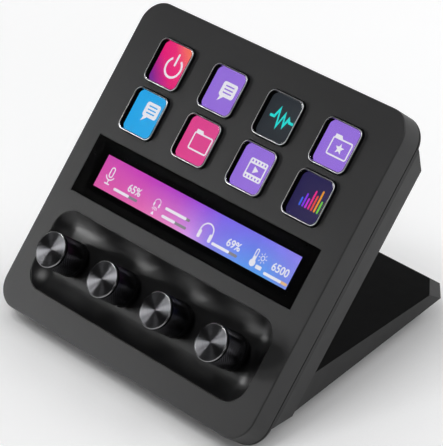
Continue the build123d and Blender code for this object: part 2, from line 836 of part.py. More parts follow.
# ---- stand: a hollow wedge, open below, screwed to the back of the housing ----
base_top = stand_bottom + base_thickness
base_screw_front_y = side_view(up_at(-housing_back, stand_bottom), -housing_back)[0] + 2 * plinth_inset
base_screw_rear_y = rear_end - 3 * plinth_inset
base_screw_inset = (stand_wall + plinth_inset) / 2
base_screw_places = [
    (side * (half_width_at(out_at(y, stand_bottom)) - base_screw_inset), y)
    for side in (-1, 1)
    for y in (base_screw_front_y, base_screw_rear_y)
]
with BuildPart() as base_bosses:
    with BuildSketch(Plane.XY.offset(base_top)):
        with Locations(base_screw_places):
            Circle(boss_radius)
    extrude(amount=stand_front_height)
    add(stand_block(stand_wall / 2), mode=Mode.INTERSECT)
    with BuildSketch(Plane.XY.offset(base_top)):
        with Locations(base_screw_places):
            Circle(screw_radius + thread_gap)
    extrude(amount=base_thread_depth, mode=Mode.SUBTRACT)
with BuildPart() as stand:
    add(stand_block(0))
    bottom_edges = stand.faces().sort_by(Axis.Z)[0].edges().sort_by(Axis.Y)
    chamfer(bottom_edges[1:], stand_rim_bevel)
    add(stand_block(stand_wall), mode=Mode.SUBTRACT)
    with BuildSketch(level(-housing_back - stand_wall)):
        with Locations(stand_screw_places):
            Circle(stand_boss_radius)
    extrude(amount=-stand_boss_length)
    with BuildSketch(level(-housing_back)):
        with Locations(stand_screw_places):
            Circle(stand_screw_radius + thread_gap)
    extrude(amount=-stand_wall - stand_boss_length + stand_wall / 2, mode=Mode.SUBTRACT)
    add(base_bosses)
save(stand, "stand")

stand_screw_length = housing_wall + stand_wall / 2 + stand_boss_length - screw_end_gap
stand_screws = pan_screws(
    level(inner_back),
    stand_screw_places,
    stand_screw_length,
    1,
    stand_screw_radius,
    stand_screw_head_radius,
    stand_screw_head_height,
)
save(stand_screws, "stand_screws")


# ---- base: a plate inside the stand with a shallow plinth, a weight in it and a rubber sole ----
def footprint(inset, height):
    """Plan of the stand's underside, moved in."""
    front_y = side_view(up_at(-housing_back, stand_bottom), -housing_back)[0]
    front_half = half_width_at(-housing_back)
    rear_half = half_width_at(out_at(rear_end, stand_bottom))
    corner_tip = rear_end + half_width_at(out_at(rear_end, rim_level)) - stand_corner_rim
    with BuildSketch(Plane.XY.offset(height)) as plan:
        with BuildLine():
            Polyline(
                (front_half, front_y),
                (rear_half, rear_end),
                (-rear_half, rear_end),
                (-front_half, front_y),
                close=True,
            )
        make_face()
        with Locations((0, corner_tip - far)):
            Rectangle(far * sqrt(2), far * sqrt(2), rotation=45, mode=Mode.INTERSECT)
        offset(amount=-inset, kind=Kind.INTERSECTION)
    return plan.sketch


pocket_inset = plinth_inset + plinth_wall
pocket_bottom = sole_thickness + plinth_floor
with BuildPart() as base_cover:
    with BuildSketch(Plane.XY.offset(stand_bottom)):
        Rectangle(far, far)
    extrude(amount=base_thickness)
    add(stand_block(stand_wall + base_gap), mode=Mode.INTERSECT)
    extrude(footprint(plinth_inset, sole_thickness), amount=stand_bottom - sole_thickness)
    extrude(footprint(pocket_inset, pocket_bottom), amount=base_top - pocket_bottom, mode=Mode.SUBTRACT)
    with BuildSketch(Plane.XY.offset(stand_bottom)):
        with Locations(base_screw_places):
            Circle(screw_radius + clearance_gap)
    extrude(amount=base_thickness, mode=Mode.SUBTRACT)
    with BuildSketch(Plane.XY.offset(stand_bottom)):
        with Locations(base_screw_places):
            Circle(screw_head_radius + clearance_gap)
    extrude(amount=screw_head_height, mode=Mode.SUBTRACT)
save(base_cover, "base_cover")

base_seat = Plane.XY.offset(stand_bottom + screw_head_height)
base_screw_length = base_thickness - screw_head_height + base_thread_depth - screw_end_gap
save(small_screws(base_seat, base_screw_places, base_screw_length, -1), "base_screws")

with BuildPart() as ballast_plate:
    extrude(footprint(pocket_inset + ballast_gap, pocket_bottom), amount=ballast_thickness)
save(ballast_plate, "ballast_plate")

with BuildPart() as rubber_sole:
    extrude(footprint(sole_inset, 0), amount=sole_thickness)
save(rubber_sole, "rubber_sole")
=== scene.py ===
"""Looks of the desk keypad: materials, lit pictures, knurled dials, light, floor and camera."""

import json
from math import cos, pi, radians, sin, sqrt

import bpy
from mathutils import Matrix, Vector


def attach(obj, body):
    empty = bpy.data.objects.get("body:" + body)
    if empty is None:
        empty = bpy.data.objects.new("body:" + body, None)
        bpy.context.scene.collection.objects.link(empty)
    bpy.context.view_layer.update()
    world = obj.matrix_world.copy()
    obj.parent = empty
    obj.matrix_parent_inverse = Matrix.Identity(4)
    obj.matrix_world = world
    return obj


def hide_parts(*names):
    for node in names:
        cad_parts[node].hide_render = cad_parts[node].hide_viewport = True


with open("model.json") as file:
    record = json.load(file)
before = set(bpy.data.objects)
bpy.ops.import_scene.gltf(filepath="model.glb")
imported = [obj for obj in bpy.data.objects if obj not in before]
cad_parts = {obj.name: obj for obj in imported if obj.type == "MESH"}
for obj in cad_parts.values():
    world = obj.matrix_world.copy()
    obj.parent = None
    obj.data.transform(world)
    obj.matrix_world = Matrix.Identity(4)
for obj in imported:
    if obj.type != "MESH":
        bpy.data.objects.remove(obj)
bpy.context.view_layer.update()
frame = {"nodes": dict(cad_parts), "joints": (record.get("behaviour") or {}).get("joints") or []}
nodes = frame["nodes"]
joints = {joint["name"]: joint for joint in frame["joints"]}
MM = 0.001

# ---- the panel: across (X), up its face and out of it, in millimetres from the middle of the face ----
KEYS = 8
DIALS = 4
DIALS_DOWN = 38.351         # the row of dials lies that far below the middle
STRIP_DOWN = 2.85           # and the middle of the strip that far
ACROSS = Vector((1, 0, 0))
OUT = Vector(joints["dial_1_turn"]["axis"]).normalized()
UP = OUT.cross(ACROSS)
dial_places = [Vector(joints[f"dial_{n}_turn"]["pos_m"]) for n in range(1, DIALS + 1)]
MIDDLE = sum(dial_places, Vector()) / DIALS + UP * DIALS_DOWN * MM


def panel(across, up, out=0.0):
    """A place on the panel, in the row frame."""
    return MIDDLE + (ACROSS * across + UP * up + OUT * out) * MM


def panel_matrix(across, up, out=0.0):
    """A frame standing on the panel there: X across, Y up, Z out."""
    axes = Matrix((ACROSS, UP, OUT)).transposed().to_4x4()
    return Matrix.Translation(panel(across, up, out)) @ axes


def on_panel(place):
    """Across, up and out of a place in the row frame."""
    offset = (place - MIDDLE) / MM
    return offset.dot(ACROSS), offset.dot(UP), offset.dot(OUT)


def panel_box(node):
    """Lowest and highest across, up and out of a CAD node."""
    spots = [on_panel(vertex.co) for vertex in nodes[node].data.vertices]
    return [min(s[i] for s in spots) for i in range(3)], [max(s[i] for s in spots) for i in range(3)]


def key_place(number):
    """Across and up of a key's middle."""
    low, high = panel_box(f"key_frame_{number}")
    return (low[0] + high[0]) / 2, (low[1] + high[1]) / 2


def colour(code):
    """Linear colour of a hexadecimal screen colour."""
    channels = [int(code[i : i + 2], 16) / 255 for i in (0, 2, 4)]
    linear = [c / 12.92 if c <= 0.04045 else ((c + 0.055) / 1.055) ** 2.4 for c in channels]
    return (*linear, 1)


def coloured(stops):
    """Colour ramp stops from (place, hexadecimal colour) pairs."""
    return [(at, colour(code)) for at, code in stops]


def shaded(shade, factor):
    """A colour made darker or lighter."""
    return tuple(c * factor for c in shade[:3]) + (1,)


# ---- materials: noise sizes and depths are in millimetres ----
class Shader:
    """A node material with one Principled surface."""

    def __init__(self, name, **surface):
        self.material = bpy.data.materials.new(name)
        self.material.use_nodes = True
        self.tree = self.material.node_tree
        self.surface = self.tree.nodes["Principled BSDF"]
        self.object_coords = self.node("ShaderNodeTexCoord").outputs["Object"]
        for socket, value in surface.items():
            self.feed(socket.replace("_", " "), value)

    def plug(self, value, socket):
        """Link an output into a socket, or set the socket's own constant."""
        if isinstance(value, bpy.types.NodeSocket):
            self.tree.links.new(value, socket)
        else:
            socket.default_value = value

    def feed(self, socket, value):
        self.plug(value, self.surface.inputs[socket])

    def node(self, kind, inputs=None, **settings):
        made = self.tree.nodes.new(kind)
        for name, value in settings.items():
            setattr(made, name, value)
        for socket, value in (inputs or {}).items():
            self.plug(value, made.inputs[socket])
        return made

    def noise(self, size_mm, detail=3.0, coords=None):
        """Noise whose lumps are about that big."""
        inputs = {"Vector": coords or self.object_coords, "Scale": 1 / (size_mm * MM), "Detail": detail}
        return self.node("ShaderNodeTexNoise", inputs).outputs["Fac"]

    def spread(self, value, low, high):
        """A 0 to 1 value between two numbers."""
        inputs = {"Value": value, "To Min": low, "To Max": high}
        return self.node("ShaderNodeMapRange", inputs).outputs["Result"]

    def ramp(self, value, stops):
        """A colour ramp: a list of (place, colour)."""
        made = self.node("ShaderNodeValToRGB", {"Fac": value})
        elements = made.color_ramp.elements
        while len(elements) < len(stops):
            elements.new(0.5)
        for element, (place, shade) in zip(elements, stops):
            element.position = place
            element.color = shade
        return made.outputs["Color"]

    def mix(self, factor, first, second):
        """A colour between two: a Mix node's colour sockets are 6 and 7, and its colour result is 2."""
        made = self.node("ShaderNodeMix", data_type="RGBA")
        for index, value in ((0, factor), (6, first), (7, second)):
            self.plug(value, made.inputs[index])
        return made.outputs[2]

    def math(self, operation, first, second=0.0):
        made = self.node("ShaderNodeMath", operation=operation)
        for socket, value in zip(made.inputs, (first, second)):
            self.plug(value, socket)
        return made.outputs[0]

    def vector_math(self, operation, first, second=(0, 0, 0)):
        made = self.node("ShaderNodeVectorMath", operation=operation)
        for socket, value in zip(made.inputs, (first, second)):
            self.plug(value, socket)
        return made

    def along(self, axis, start, end):
        """0 to 1 between two distances in millimetres along an axis of the piece's own frame."""
        place = self.vector_math("DOT_PRODUCT", self.object_coords, axis).outputs["Value"]
        inputs = {"Value": place, "From Min": start * MM, "From Max": end * MM}
        return self.node("ShaderNodeMapRange", inputs).outputs["Result"]

    def bump(self, height, strength, depth_mm):
        inputs = {"Height": height, "Strength": strength, "Distance": depth_mm * MM}
        self.feed("Normal", self.node("ShaderNodeBump", inputs).outputs["Normal"])


def moulded(name, shade, roughness, grain_mm=0.28, grain_depth=0.02, **surface):
    """Moulded plastic or rubber: a fine spark-eroded grain, with slight clouding in colour and gloss."""
    made = Shader(name, **surface)
    clouds, haze, grain = made.noise(18.0), made.noise(5.0), made.noise(grain_mm, 2.0)
    made.feed("Base Color", made.ramp(clouds, [(0.35, shaded(shade, 0.88)), (0.65, shaded(shade, 1.12))]))
    made.feed("Roughness", made.spread(haze, roughness - 0.05, roughness + 0.05))
    made.bump(grain, 0.35, grain_depth)
    return made.material


def polished(name, shade, roughness, **surface):
    """Glossy plastic, with faint haze and very shallow moulding waves."""
    made = Shader(name, **surface)
    clouds, haze, waves = made.noise(9.0), made.noise(2.5), made.noise(6.0, 1.0)
    made.feed("Base Color", made.ramp(clouds, [(0.3, shade), (0.7, shaded(shade, 1.3))]))
    made.feed("Roughness", made.spread(haze, roughness * 0.8, roughness * 1.2))
    made.bump(waves, 0.04, 0.02)
    return made.material


def metal(name, shade, roughness, grain_mm=0.3, grained=True):
    """Plated or turned metal with a fine grain in its gloss, and in its surface where it is grained."""
    made = Shader(name, Metallic=1.0)
    clouds, grain = made.noise(2.0), made.noise(grain_mm)
    made.feed("Base Color", made.ramp(clouds, [(0.3, shade), (0.7, shaded(shade, 0.8))]))
    made.feed("Roughness", made.spread(grain, roughness - 0.06, roughness + 0.06))
    if grained:
        made.bump(grain, 0.1, 0.01)
    return made.material


def board_mask():
    """Solder mask over faint tracks."""
    made = Shader("board_mask", Roughness=0.35)
    cells = {"Vector": made.object_coords, "Scale": 260.0}
    tracks = made.node("ShaderNodeTexVoronoi", cells, feature="DISTANCE_TO_EDGE").outputs["Distance"]
    made.feed("Base Color", made.ramp(tracks, [(0.02, colour("1f5a3c")), (0.06, colour("10291d"))]))
    made.bump(tracks, 0.1, 0.05)
    return made.material


def clear(name, roughness, ior, tint):
    """Clear plastic or glass."""
    made = Shader(name, Transmission_Weight=1.0, IOR=ior)
    clouds, haze = made.noise(12.0), made.noise(4.0)
    made.feed("Base Color", made.ramp(clouds, [(0.0, tint), (1.0, (1, 1, 1, 1))]))
    made.feed("Roughness", made.spread(haze, roughness, roughness * 1.5))
    return made.material


PIXEL = 0.15                # side of a display's pixel
DISPLAY_OFF = {"Roughness": 0.4, "Base_Color": (0.01, 0.01, 0.01, 1)}


def glow(name, shade, strength=1.0):
    """A lit display: its colour over a faint grid of pixels."""
    made = Shader(name, Emission_Strength=strength, **DISPLAY_OFF)
    pixels = {"Vector": made.object_coords, "Scale": 1 / (PIXEL * MM)}
    pixels.update({"Color1": shade, "Color2": shaded(shade, 0.94)})
    made.feed("Emission Color", made.node("ShaderNodeTexChecker", pixels).outputs["Color"])
    return made.material


def gradient(name, ramps, blend=None, strength=1.0):
    """A lit display with one colour ramp (axis, from, to, stops), or two mixed along (axis, from, to)."""
    made = Shader(name, Emission_Strength=strength, **DISPLAY_OFF)
    shades = [made.ramp(made.along(*reach), stops) for *reach, stops in ramps]
    made.feed("Emission Color", made.mix(made.along(*blend), *shades) if blend else shades[0])
    return made.material


cover_plastic = moulded("cover_plastic", colour("151516"), 0.46)
housing_plastic = moulded("housing_plastic", colour("161617"), 0.5, Specular_IOR_Level=0.38)
# darker and less glossy than the housing plastic: painted shade, for the stand's top that lies in the
# panel's shade
shaded_stand_plastic = moulded("shaded_stand_plastic", colour("0d0d0e"), 0.5, Specular_IOR_Level=0.27)
tray_plastic = polished("tray_plastic", colour("060607"), 0.38)
mask_black = polished("mask_black", colour("030303"), 0.3, Specular_IOR_Level=0.05)
black_plastic = moulded("black_plastic", colour("161617"), 0.45)
silicone = moulded("silicone", colour("0d0d0e"), 0.6)
sole_rubber = moulded("sole_rubber", colour("121212"), 0.75, 0.6, 0.05)
sheet_metal = metal("sheet_metal", colour("b4b6ba"), 0.35)
screw_metal = metal("screw_metal", colour("6d6d70"), 0.32)
bright_metal = metal("bright_metal", colour("c9cacc"), 0.25)
link_film = polished("link_film", colour("a8641c"), 0.3)
key_black = polished("key_black", colour("0a0a0b"), 0.3)
key_wall = polished("key_wall", colour("020202"), 0.5, Specular_IOR_Level=0.0)
# near-white metal for the line round each key's top: a painted highlight of the lit edge, over the real
# gloss of its rounded rim
painted_rim_highlight = metal("painted_rim_highlight", colour("f0f1f4"), 0.34)
key_clear = clear("key_clear", 0.01, 1.585, colour("f4f6fa"))
strip_clear = clear("strip_clear", 0.015, 1.38, colour("e8eaee"))
board = board_mask()

finishes = {
    "front_cover": cover_plastic,
    "rear_housing": housing_plastic,
    "stand": shaded_stand_plastic,
    "base_cover": shaded_stand_plastic,
    "dial_tray": tray_plastic,
    "spring_mat": silicone,
    "strip_gasket": silicone,
    "key_display": mask_black,
    "strip_display": mask_black,
    "strip_glass": strip_clear,
    "display_frame": sheet_metal,
    "main_board": board,
    "dial_board": board,
    "board_components": black_plastic,
    "flat_links": link_film,
    "usb_socket": bright_metal,
    "ballast_plate": sheet_metal,
    "rubber_sole": sole_rubber,
}
for place in ("frame", "board", "case", "stand", "base"):
    finishes[f"{place}_screws"] = screw_metal
for number in range(1, KEYS + 1):
    finishes[f"key_frame_{number}"] = key_black
    finishes[f"key_lens_{number}"] = key_clear
for number in range(1, DIALS + 1):
    finishes[f"encoder_body_{number}"] = black_plastic
    finishes[f"encoder_rotor_{number}"] = black_plastic
    finishes[f"encoder_shaft_{number}"] = bright_metal
for name, finish in finishes.items():
    slots = nodes[name].material_slots
    for slot in slots:
        slot.material = finish
    if not slots:
        nodes[name].data.materials.append(finish)


# ---- making flat pictures ----
CORNER_STEPS = 5            # of an outline's rounded corner
RING_STEPS = 28             # of a stroke along a circle
BAR_ROUNDING = 0.98         # of half a bar's width, so that its ends keep a short flat
MITRE_LIMIT = 0.4           # cosine at which a stroke's bend stops reaching out


def piece(name, mesh, matrix, body, slot, *materials):
    """A new object of the part, riding on a body."""
    made = bpy.data.objects.new(name, mesh)
    bpy.context.scene.collection.objects.link(made)
    if not mesh.materials:
        for finish in materials:
            mesh.materials.append(finish)
    made.matrix_world = matrix
    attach(made, body)
    return made


def mesh_of(name, curve):
    """The mesh that a curve or text fills."""
    holder = bpy.data.objects.new(name, curve)
    mesh = bpy.data.meshes.new_from_object(holder)
    bpy.data.objects.remove(holder)
    mesh.name = name
    return mesh


def flat_mesh(name, outlines):
    """A flat mesh from closed outlines in millimetres; an outline inside another is a hole."""
    curve = bpy.data.curves.new(name, "CURVE")
    curve.dimensions = "2D"
    curve.fill_mode = "BOTH"
    for outline in outlines:
        spline = curve.splines.new("POLY")
        spline.points.add(len(outline) - 1)
        for point, (x, y) in zip(spline.points, outline):
            point.co = (x * MM, y * MM, 0, 1)
        spline.use_cyclic_u = True
    return mesh_of(name, curve)


def glyphs(body, size, weight=0.018):
    """Plain numerals about their middle, as a flat mesh."""
    curve = bpy.data.curves.new(body, "FONT")
    curve.body = body
    curve.size = size * MM
    curve.offset = weight * size * MM
    curve.align_x = "CENTER"
    curve.align_y = "CENTER"
    return mesh_of(body, curve)


def arc(x, y, radius, start, end, steps=12):
    """Points along an arc, in degrees."""
    angles = [radians(start + (end - start) * i / steps) for i in range(steps + 1)]
    return [(x + radius * cos(a), y + radius * sin(a)) for a in angles]


def rounded(x, y, width, height, corner):
    """A rounded rectangle about a middle."""
    w, h = width / 2 - corner, height / 2 - corner
    outline = []
    for dx, dy, turn in ((w, h, 0), (-w, h, 90), (-w, -h, 180), (w, -h, 270)):
        outline += arc(x + dx, y + dy, corner, turn, turn + 90, CORNER_STEPS)
    return outline


def bar(x, y, width, height):
    """A bar with round ends."""
    return rounded(x, y, width, height, min(width, height) / 2 * BAR_ROUNDING)


def circle(x, y, radius, points=24):
    return arc(x, y, radius, 0, 360 - 360 / points, points - 1)


def open_ring(x, y, radius, width, start, end):
    """A stroke along part of a circle."""
    outer = arc(x, y, radius + width / 2, start, end, RING_STEPS)
    return outer + arc(x, y, radius - width / 2, end, start, RING_STEPS)


def box(x0, y0, x1, y1):
    return [(x0, y0), (x1, y0), (x1, y1), (x0, y1)]


def middle_box(width, height):
    return box(-width / 2, -height / 2, width / 2, height / 2)


def outline_box(x, y, width, height, corner, line):
    """A rounded rectangle drawn as a line."""
    inner = max(corner - line, 0.05)
    return [rounded(x, y, width, height, corner), rounded(x, y, width - 2 * line, height - 2 * line, inner)]


def stroke(points, width):
    """A line of that width through points, with mitred bends."""
    left, right = [], []
    spots = [Vector(p) for p in points]
    for i, spot in enumerate(spots):
        ahead = (spots[min(i + 1, len(spots) - 1)] - spot) if i < len(spots) - 1 else spot - spots[i - 1]
        behind = (spot - spots[i - 1]) if i else ahead
        first, last = behind.normalized(), ahead.normalized()
        side = Vector((-first.y - last.y, first.x + last.x)).normalized()
        reach = width / 2 / max(side.dot(Vector((-last.y, last.x))), MITRE_LIMIT)
        left.append(tuple(spot + side * reach))
        right.append(tuple(spot - side * reach))
    return left + right[::-1]


PICTURE_OUT = panel_box("key_display")[1][2]
STRIP_OUT = panel_box("strip_display")[1][2]
LAYER = 0.02                # between a ground and the signs over it


def picture(name, outlines, finish, across, up, out, layer):
    """A flat lit shape on a display."""
    mesh = flat_mesh(name, outlines)
    piece(name, mesh, panel_matrix(across, up, out + layer * LAYER), "base", "display_glass", finish)


# ---- the eight key pictures: plain signs on coloured grounds ----
def power_sign():
    return [open_ring(0, -0.3, 4.0, 0.95, 125, 415), bar(0, 2.9, 0.95, 5.2)]


def bubble_sign(x, y):
    tail = [(x - 2.6, y - 2.4), (x - 0.2, y - 2.4), (x - 3.2, y - 5.2)]
    lines = [bar(x, y + dy, 4.6, 0.55) for dy in (1.5, 0.1, -1.3)]
    return [rounded(x, y, 7.6, 6.0, 1.1), *lines], [tail]


def wave_sign():
    rise = [(-6.4, 0), (-4.2, 0), (-3.0, 3.4), (-1.4, -3.2)]
    fall = [(0.2, 2.2), (1.5, -2.2), (2.7, 1.2), (3.6, 0), (6.4, 0)]
    return [stroke(rise + fall, 1.05)]


def folder_sign():
    tab = [(-4.4, 3.0), (-4.4, 4.3), (-1.3, 4.3), (-0.4, 3.0)]
    return outline_box(0, -0.4, 10.0, 7.2, 0.9, 0.6), [tab]


def star_sign():
    spots = []
    for i in range(10):
        reach = 2.2 if i % 2 == 0 else 0.95
        spots.append((reach * cos(pi / 2 + i * pi / 5), -0.5 + reach * sin(pi / 2 + i * pi / 5)))
    return [spots]


def film_sign():
    holes = [rounded(x, y, 0.75, 0.85, 0.15) for y in (3.05, -3.05) for x in (-3.3, -1.65, 0, 1.65, 3.3)]
    return [rounded(0, 0, 9.0, 8.0, 0.7), box(-3.9, -1.9, 3.9, 1.9), *holes]


def play_sign():
    return [[(-1.1, -1.4), (-1.1, 1.4), (1.5, 0)]]


LEVEL_BARS = (
    (-4.5, 3.4, "3d6df0"),
    (-3.0, 5.4, "8a3df0"),
    (-1.5, 4.0, "d633e0"),
    (0, 7.6, "f0318f"),
    (1.5, 6.2, "f5503c"),
    (3.0, 8.6, "f7a62b"),
    (4.5, 5.0, "7ce04a"),
)


def level_sign():
    """Bars of many colours on one foot line, each with its own finish."""
    for x, height, shade in LEVEL_BARS:
        yield [bar(x, -4.0 + height / 2, 0.8, height)], glow(f"sign_{shade}", colour(shade))


white = glow("sign_white", colour("f6f4fa"))
signs = {
    1: [(power_sign(), white)],
    2: [(outline, white) for outline in bubble_sign(0.15, 1.0)],
    3: [(wave_sign(), glow("sign_cyan", colour("1fe6de")))],
    4: [(outline, white) for outline in folder_sign()] + [(star_sign(), white)],
    5: [(outline, white) for outline in bubble_sign(0.5, 2.3)],
    6: [(outline, white) for outline in folder_sign()],
    7: [(film_sign(), white), (play_sign(), white)],
    8: list(level_sign()),
}

KEY_LIGHT = 1.1
PICTURE_SIZE = 18.7
PICTURE_CORNER = 2.6
SLOPE = (sqrt(0.5), sqrt(0.5), 0)
SUNSET = ((0.0, "7a2b92"), (0.35, "e61f78"), (0.62, "ef2f78"), (0.95, "fb7d52"))
purple = glow("ground_purple", colour("9871dc"), KEY_LIGHT)
grounds = {
    1: gradient("ground_sunset", [(SLOPE, -10.5, 10.5, coloured(SUNSET))], strength=KEY_LIGHT),
    2: purple,
    3: glow("ground_slate", colour("2d3136"), KEY_LIGHT),
    4: purple,
    5: glow("ground_sky", colour("2aa9ea"), KEY_LIGHT),
    6: glow("ground_pink", colour("e2468f"), KEY_LIGHT),
    7: purple,
    8: glow("ground_indigo", colour("2a2450"), KEY_LIGHT),
}
square = [rounded(0, 0, PICTURE_SIZE, PICTURE_SIZE, PICTURE_CORNER)]
for number in range(1, KEYS + 1):
    place = (*key_place(number), PICTURE_OUT)
    picture(f"picture_{number}", square, grounds[number], *place, 1)
    for index, (outlines, finish) in enumerate(signs[number]):
        picture(f"sign_{number}_{index}", outlines, finish, *place, 2)


# ---- key caps: a clear block with softened edges, and a near-white metal line round the frame's top, a painted highlight of the cap's lit edge ----
def smooth(mesh, angle=38):
    """Smooth shading with edges kept where faces meet sharply."""
    mesh.shade_smooth()
    mesh.set_sharp_from_angle(angle=radians(angle))


def new_mesh(name, verts, faces, materials, kinds):
    """A mesh with a material number for each face."""
    mesh = bpy.data.meshes.new(name)
    mesh.from_pydata(verts, [], faces)
    for finish in materials:
        mesh.materials.append(finish)
    for face, kind in zip(mesh.polygons, kinds):
        face.material_index = kind
    return mesh


def bands(count, rings, total):
    """Quads that join rings of count points each; after the last of the total comes the first again."""
    faces = []
    for ring in range(rings):
        a, b = ring * count, (ring + 1) % total * count
        faces += [(a + i, a + (i + 1) % count, b + (i + 1) % count, b + i) for i in range(count)]
    return faces


def end_faces(count, total):
    """The first ring's face, turned over, and the last ring's face."""
    return [tuple(range(count))[::-1], tuple((total - 1) * count + i for i in range(count))]


def sweep(name, profile, size, corner, closed, materials, sides=()):
    """A solid or a ring from rounded squares: (inset, height) pairs in millimetres.

    The bands numbered in sides take the second material.
    """
    loops = []
    for inset, _ in profile:
        side = size - 2 * inset
        loops.append(rounded(0, 0, side, side, max(corner - inset, 0.05)))
    verts = [(x * MM, y * MM, height * MM) for loop, (_, height) in zip(loops, profile) for x, y in loop]
    count, total = len(loops[0]), len(profile)
    faces = bands(count, total if closed else total - 1, total)
    if not closed:
        faces += end_faces(count, total)
    kinds = [int(i // count in sides) for i in range(len(faces))]
    mesh = new_mesh(name, verts, faces, materials, kinds)
    smooth(mesh)
    return mesh


def quarter(inset, height, radius, angles):
    """Points round a convex edge, from its side to its top."""
    return [(inset - radius * cos(radians(a)), height + radius * sin(radians(a))) for a in angles]


KEY_SIZE = 18.1
KEY_CORNER = 2.9
KEY_WALL = 0.5
KEY_TOP = 1.2
KEY_BOTTOM = -3.4
rim_profile = [
    (-0.02, 0.92),
    (-0.02, 1.0),
    *quarter(0.2, 1.0, 0.22, (22, 45, 68, 90)),
    (0.3, 1.22),
    (0.3, 1.12),
    (0.2, 1.02),
]
lens_profile = [
    (0.1, KEY_BOTTOM + 0.01),
    (0.06, KEY_BOTTOM + 0.01),
    (0.02, KEY_BOTTOM + 0.06),
    *quarter(0.22, KEY_TOP - 0.22, 0.2, (0, 30, 60, 90)),
    (0.3, KEY_TOP - 0.02),
]
rim_mesh = sweep("key_rim", rim_profile, KEY_SIZE, KEY_CORNER, True, [painted_rim_highlight])
lens_mesh = sweep(
    "key_block",
    lens_profile,
    KEY_SIZE - 2 * KEY_WALL,
    KEY_CORNER - KEY_WALL,
    False,
    [key_clear, key_wall],
    sides=(1, 2),
)
for number in range(1, KEYS + 1):
    place = panel_matrix(*key_place(number))
    piece(f"key_rim_{number}", rim_mesh, place, f"key_{number}", "key_black")
    block = piece(f"key_block_{number}", lens_mesh, place, f"key_{number}", "key_clear")
    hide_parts(f"key_lens_{number}")

# ---- the strip: black print under the glass, a graded ground and its read-outs ----
LIT_WIDTH = 106.3
LIT_HEIGHT = 13.3
PRINT_OPENING = (111.0, 17.8)
PRINT_MARGIN = 0.1
STRIP_UPPER = (
    (0.0, "d94bb4"),
    (0.2, "cf3fc0"),
    (0.4, "b53dd0"),
    (0.52, "9a52e4"),
    (0.62, "8268ee"),
    (0.8, "7c76f2"),
    (1.0, "9184f0"),
)
STRIP_LOWER = (
    (0.0, "e85cae"),
    (0.22, "f06db6"),
    (0.4, "f08acb"),
    (0.5, "dc9cee"),
    (0.62, "8f8cf4"),
    (0.75, "669cf6"),
    (0.88, "5aa6f7"),
    (1.0, "7c93f2"),
)
low, high = panel_box("strip_glass")
STRIP_UP = (low[1] + high[1]) / 2
print_size = (high[0] - low[0] - 2 * PRINT_MARGIN, high[1] - low[1] - 2 * PRINT_MARGIN)
print_mesh = flat_mesh("strip_print", [middle_box(*print_size), middle_box(*PRINT_OPENING)])
print_place = panel_matrix(0, STRIP_UP, low[2] + LAYER)
piece("strip_print", print_mesh, print_place, "base", "strip_glass", mask_black)
strip_ramps = []
for stops in (STRIP_LOWER, STRIP_UPPER):
    strip_ramps.append(((1, 0, 0), -LIT_WIDTH / 2, LIT_WIDTH / 2, coloured(stops)))
strip_ground = gradient("strip_ground", strip_ramps, ((0, 1, 0), -LIT_HEIGHT / 2, LIT_HEIGHT / 2))
picture("strip_picture", [middle_box(LIT_WIDTH, LIT_HEIGHT)], strip_ground, 0, STRIP_UP, STRIP_OUT, 1)
bar_rest = glow("bar_rest", colour("8d8a92"))
bar_warm = glow("bar_warm", colour("f3c48c"))


def strip_place(x, y):
    """Across and up of a place in millimetres from the lit area's upper left corner."""
    return x - LIT_WIDTH / 2, STRIP_UP + LIT_HEIGHT / 2 - y


def strip_shape(name, outlines, finish, x, y, layer=2):
    """A shape on the strip."""
    picture(name, outlines, finish, *strip_place(x, y), STRIP_OUT, layer)


def strip_sign(name, shapes, x, y):
    """A white sign of several shapes."""
    for index, shape in enumerate(shapes):
        strip_shape(f"{name}_{index}", shape, white, x, y)


def read_out(name, x, y, share, length=13.6, rest=bar_rest, height=1.1):
    """A level bar, filled up to a share of its length."""
    strip_shape(f"{name}_rest", [bar(length / 2, 0, length, height)], rest, x, y)
    strip_shape(f"{name}_bar", [bar(length * share / 2, 0, length * share, height)], white, x, y, 3)


def value(name, body, x, y, size=4.3):
    """Numerals on the strip."""
    place = panel_matrix(*strip_place(x, y), STRIP_OUT + 2 * LAYER)
    piece(name, glyphs(body, size), place, "base", "display_glass", white)


def microphone(scale):
    sizes = ((2.1, 4.0, 1.0), (1.2, 3.1, 0.55))
    body = [rounded(0, 1.6 * scale, *(length * scale for length in size)) for size in sizes]
    cradle = [open_ring(0, 0.9 * scale, 2.1 * scale, 0.45 * scale, 200, 340)]
    stem = box(-0.25 * scale, -2.6 * scale, 0.25 * scale, -1.2 * scale)
    foot = bar(0, -2.7 * scale, 2.6 * scale, 0.5 * scale)
    return [body, cradle, [stem, foot]]


def headphones(scale):
    band = [open_ring(0, 0, 3.1 * scale, 0.55 * scale, -12, 192)]
    cup = (-1.6 * scale, 1.5 * scale, 3.0 * scale, 0.5 * scale)
    return [band, [rounded(side * 2.75 * scale, *cup) for side in (-1, 1)]]


def signal_sign():
    """Two arcs over a mast."""
    arcs = [open_ring(0, -0.1, radius, 0.28, 25, 155) for radius in (0.85, 1.5)]
    return [*arcs, [(-0.85, -1.5), (0.85, -1.5), (0, -0.1)]]


def thermometer():
    glass = arc(0, 2.8, 0.8, 0, 180, 10) + arc(0, -2.0, 1.45, 123, 417, 20)
    return [glass, rounded(0, 1.9, 0.7, 2.6, 0.33)]


def sun():
    ray = ((1.35, -0.14), (2.1, -0.14), (2.1, 0.14), (1.35, 0.14))
    rays = []
    for i in range(8):
        turn = radians(45 * i)
        rays.append([[(r * cos(turn) - s * sin(turn), r * sin(turn) + s * cos(turn)) for r, s in ray]])
    return [[circle(0, 0, 1.0), circle(0, 0, 0.68)], *rays]


